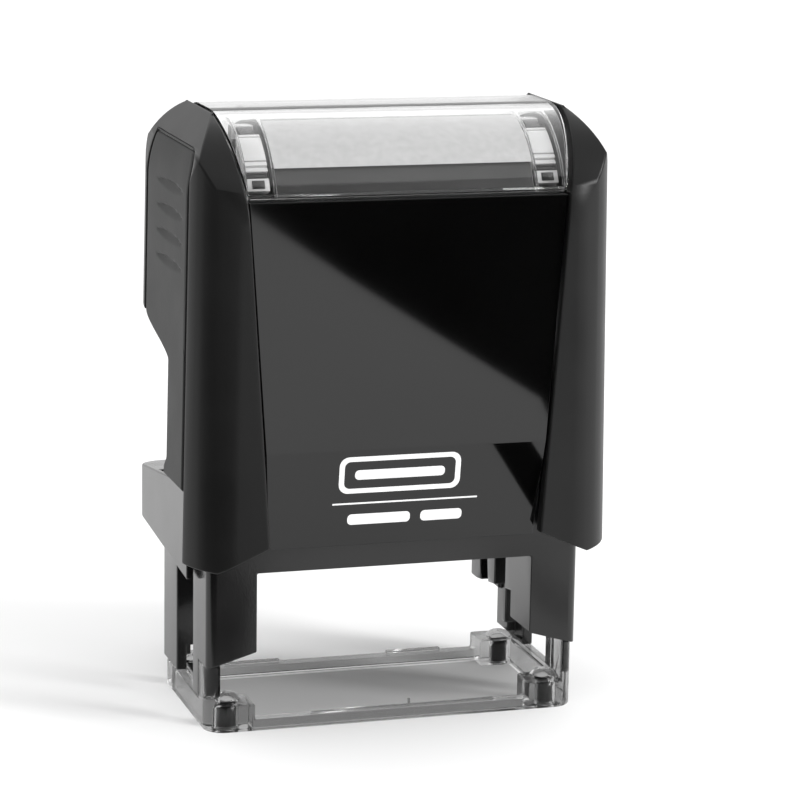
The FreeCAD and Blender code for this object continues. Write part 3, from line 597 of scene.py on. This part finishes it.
def arc_block(work, x_low, x_high, near, far, first, last, steps=8):
    """A curved block under the window between two radii and two angles."""
    rings = []
    for step in range(steps + 1):
        angle = first + (last - first) * step / steps
        ring = []
        for x, radius in ((x_low, near), (x_high, near), (x_high, far), (x_low, far)):
            y, z = arc_place(radius * MM, angle)
            ring.append(work.verts.new((x * MM, y, z)))
        rings.append(ring)
    for one, two in zip(rings, rings[1:]):
        for i in range(4):
            work.faces.new((one[i], one[(i + 1) % 4], two[(i + 1) % 4], two[i]))
    work.faces.new(reversed(rings[0]))
    work.faces.new(rings[-1])


def rounded(work, width):
    """Round the crisp edges of the work mesh."""
    bmesh.ops.recalc_face_normals(work, faces=work.faces)
    sharp = [edge for edge in work.edges if len(edge.link_faces) == 2 and edge.calc_face_angle() > SHARP]
    bmesh.ops.bevel(work, geom=sharp, offset=width * MM, offset_type="OFFSET", segments=2,
                    profile=0.5, clamp_overlap=True, affect="EDGES")


def rounded_piece(name, draw, shapes, body, slot_name, width=0.06):
    """Draw each shape, round its edges, and put them all in one piece."""
    work = bmesh.new()
    for shape in shapes:
        part = bmesh.new()
        draw(part, *shape)
        rounded(part, width)
        copy = bpy.data.meshes.new("shape")
        part.to_mesh(copy)
        part.free()
        work.from_mesh(copy)
        bpy.data.meshes.remove(copy)
    mesh = bpy.data.meshes.new(name)
    finish_smooth(work, mesh)
    return link_piece(name, mesh, MATERIALS[slot_name], body, slot_name)


def degrees(*angles):
    return tuple(math.radians(angle) for angle in angles)


# The clips' blocks: first and last angle in degrees, then near and far radius in millimetres.
CLIP_STEPS = ((24, 32, 7.2, 8.5), (36.5, 39, 7.0, 8.5), (40, 42.5, 7.2, 8.62), (43.5, 62, 7.0, 8.62),
              (62.8, 65, 7.2, 8.62), (79, 88, 7.4, 8.5))
# The dark blocks between them, painted shade for the shade seen in the clear clips: first and last angle,
# inset from the clip's sides, and far radius.
CLIP_PAINTED_SHADES = ((25.5, 30.5, 0.45, 8.62), (33, 34.6, 0.1, 8.4), (35.1, 36.2, 0.1, 8.4),
               (65.8, 77.5, 0.35, 8.55))


def make_window_details():
    """The stepped clips at both ends of the window, with dark blocks in them as painted shade, and the
    beads along its edges.
    """
    window_inner = 9.2
    for name, side in (("left", -1), ("right", 1)):
        inner, outer = sorted((side * 12.62, side * 14.68))
        clips = [(inner, outer, near, far, *degrees(first, last)) for first, last, near, far in CLIP_STEPS]
        piece = rounded_piece(name + "_window_clip", arc_block, clips, "cap", "latch_clear")
        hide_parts(name + "_window_latch")
        # Dark blocks in each clip: painted shade, not a part of the clip.
        dark = [(inner + inset, outer - inset, 7.0, far, *degrees(first, last))
                for first, last, inset, far in CLIP_PAINTED_SHADES]
        rounded_piece(name + "_clip_painted_shade", arc_block, dark, "cap", "peg_dark")
    ends = []
    for side in (-1, 1):
        inner, outer = sorted((side * 14.86, side * 15.06))
        ends.append((inner, outer, window_inner - 0.3, window_inner, *degrees(18, 86)))
        inner, outer = sorted((side * 12.2, side * 12.45))
        ends.append((inner, outer, window_inner - 0.22, window_inner, *degrees(18, 86)))
    rounded_piece("window_ribs", arc_block, ends, "index_cover", "window_clear")
    bead = [(-15.0, 15.0, window_inner - 0.35, window_inner + 0.0, *degrees(18.5, 21))]
    rounded_piece("window_bead", arc_block, bead, "index_cover", "window_clear", 0.12)
    ticks = [(left, left + 0.45, 8.2, 8.55, *degrees(24, 36)) for left in (-6.6, 6.9)]
    rounded_piece("seat_ticks", arc_block, ticks, "cap", "latch_clear")


# ---- print on the gloss panel -------------------------------------------------------------------

PRINT_FACE_LOW = (-13.2, 17.7)
PRINT_FACE_HIGH = (-14.6, 27.0)


def print_place(x, share):
    """A point just in front of the panel's lower face; share goes up the face from 0 to 1."""
    y = PRINT_FACE_LOW[0] + (PRINT_FACE_HIGH[0] - PRINT_FACE_LOW[0]) * share
    z = PRINT_FACE_LOW[1] + (PRINT_FACE_HIGH[1] - PRINT_FACE_LOW[1]) * share
    return (x * MM, (y - 0.015) * MM, z * MM)


def rounded_outline(left, right, low, high, corner, steps=6):
    """A rounded rectangle on the panel: places across, and shares of the face's height."""
    tall = PRINT_FACE_HIGH[1] - PRINT_FACE_LOW[1]
    centres = ((right - corner, high - corner / tall, 0), (left + corner, high - corner / tall, 90),
               (left + corner, low + corner / tall, 180), (right - corner, low + corner / tall, 270))
    places = []
    for x, share, start in centres:
        for step in range(steps + 1):
            angle = math.radians(start + 90 * step / steps)
            places.append((x + corner * math.cos(angle), share + corner / tall * math.sin(angle)))
    return places


def printed(name, outer, inner=None):
    """A flat printed shape, or a frame between two outlines with the same number of points."""
    work = bmesh.new()
    ring = [work.verts.new(print_place(*spot)) for spot in outer]
    if inner:
        hole = [work.verts.new(print_place(*spot)) for spot in inner]
        for i in range(len(ring)):
            after = (i + 1) % len(ring)
            work.faces.new((ring[i], ring[after], hole[after], hole[i]))
    else:
        work.faces.new(ring)
    skin = bmesh.ops.extrude_face_region(work, geom=work.faces[:])
    for item in skin["geom"]:
        if isinstance(item, bmesh.types.BMVert):
            item.co.y -= 0.01 * MM
    mesh = bpy.data.meshes.new(name)
    bmesh.ops.recalc_face_normals(work, faces=work.faces)
    work.to_mesh(mesh)
    work.free()
    link_piece(name, mesh, white_ink, "cap", "card_white")


def make_print():
    """A plain generic mark: a framed bar over a thin rule, with two short bars under it."""
    printed("print_rule", rounded_outline(-6.9, 7.0, 0.435, 0.452, 0.05))
    outer = rounded_outline(-6.4, 5.2, 0.55, 0.93, 0.9)
    inner = rounded_outline(-5.9, 4.7, 0.6, 0.88, 0.55)
    printed("print_frame", outer, inner)
    printed("print_bar", rounded_outline(-4.9, 3.7, 0.69, 0.79, 0.4))
    printed("print_line_1", rounded_outline(-5.4, 0.6, 0.22, 0.33, 0.4))
    printed("print_line_2", rounded_outline(1.6, 5.6, 0.22, 0.33, 0.4))


# ---- base details -------------------------------------------------------------------------------

RAIL_TOP = 1.1


def bar(work, low, high):
    """A plain bar between two corners in millimetres, whose edges are rounded afterwards."""
    spots = [(x, y, z) for z in (low[2], high[2]) for x, y in ((low[0], low[1]), (high[0], low[1]),
                                                             (high[0], high[1]), (low[0], high[1]))]
    v = [work.verts.new(Vector(spot) * MM) for spot in spots]
    for face in ((3, 2, 1, 0), (4, 5, 6, 7), (0, 1, 5, 4), (1, 2, 6, 5), (2, 3, 7, 6), (3, 0, 4, 7)):
        work.faces.new([v[i] for i in face])


def make_base_details():
    """The bead along the front rail, its centre mark, and the two raised strips on the rear rail."""
    base_low, base_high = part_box("base_window")
    front, rear = base_low.y / MM + 0.35, base_high.y / MM - 0.35
    bead = ((-8.0, front, RAIL_TOP + 0.04), (10.0, front + 0.4, RAIL_TOP + 0.28))
    mark = ((1.5, front + 0.05, RAIL_TOP + 0.32), (1.72, front + 0.35, RAIL_TOP + 0.8))
    rounded_piece("base_ribs", bar, (bead, mark), "frame", "smoke_clear")
    inserts = [((left, rear - 0.5, RAIL_TOP + 0.04), (left + 5.5, rear, RAIL_TOP + 0.32))
               for left in (-12.0, 4.5)]
    rounded_piece("base_inserts", bar, inserts, "frame", "smoke_clear")


MATERIALS = make_materials()
white_ink = white_print()
bpy.context.scene.view_settings.view_transform = "Standard"
make_camera()
make_world(SKY_EVEN, SKY_FRONT, SKY_BACK)
make_floor()
make_painted_floor_shade()
overhead(SUN_STRENGTH, SUN_SPREAD, SUN_PLACE)
softbox("front_right", KEY_PLACE, KEY_TARGET, KEY_WIDTH, KEY_HEIGHT, KEY_WATTS)
dark_card("dark_near", DARK_NEAR)
dark_card("dark_right", DARK_RIGHT)
dark_card("dark_left", DARK_LEFT)

for node_name in frame["nodes"]:
    dress(node_name)

SOFT_EDGES = {"inner_frame": 0.14, "ink_cartridge": 0.16, "die_holder": 0.14,
              "left_drive_arm": 0.2, "right_drive_arm": 0.2, "base_window": 0.18,
              "index_window": 0.08, "card_seat": 0.08,
              "left_spring_post": 0.15, "right_spring_post": 0.15, "text_plate": 0.05,
              "axle_pins": 0.12, "cam_pins": 0.12}
for node_name, edge_width in SOFT_EDGES.items():
    softened(node_name, edge_width)
softened("cap_shell", 0.16, 2, CAP_BEND, CAP_CRISP)
softened("front_gloss_panel", 0.1, 2, PANEL_BEND)
fuzzy("ink_pad", 0.3, 0.6, 0.06)
fuzzy("mounting_foam", 0.12, 0.5, 0.05)
for side_name, side_sign in (("left", -1), ("right", 1)):
    make_grip(side_name, side_sign)
make_springs()
make_window_details()
make_print()
make_base_details()
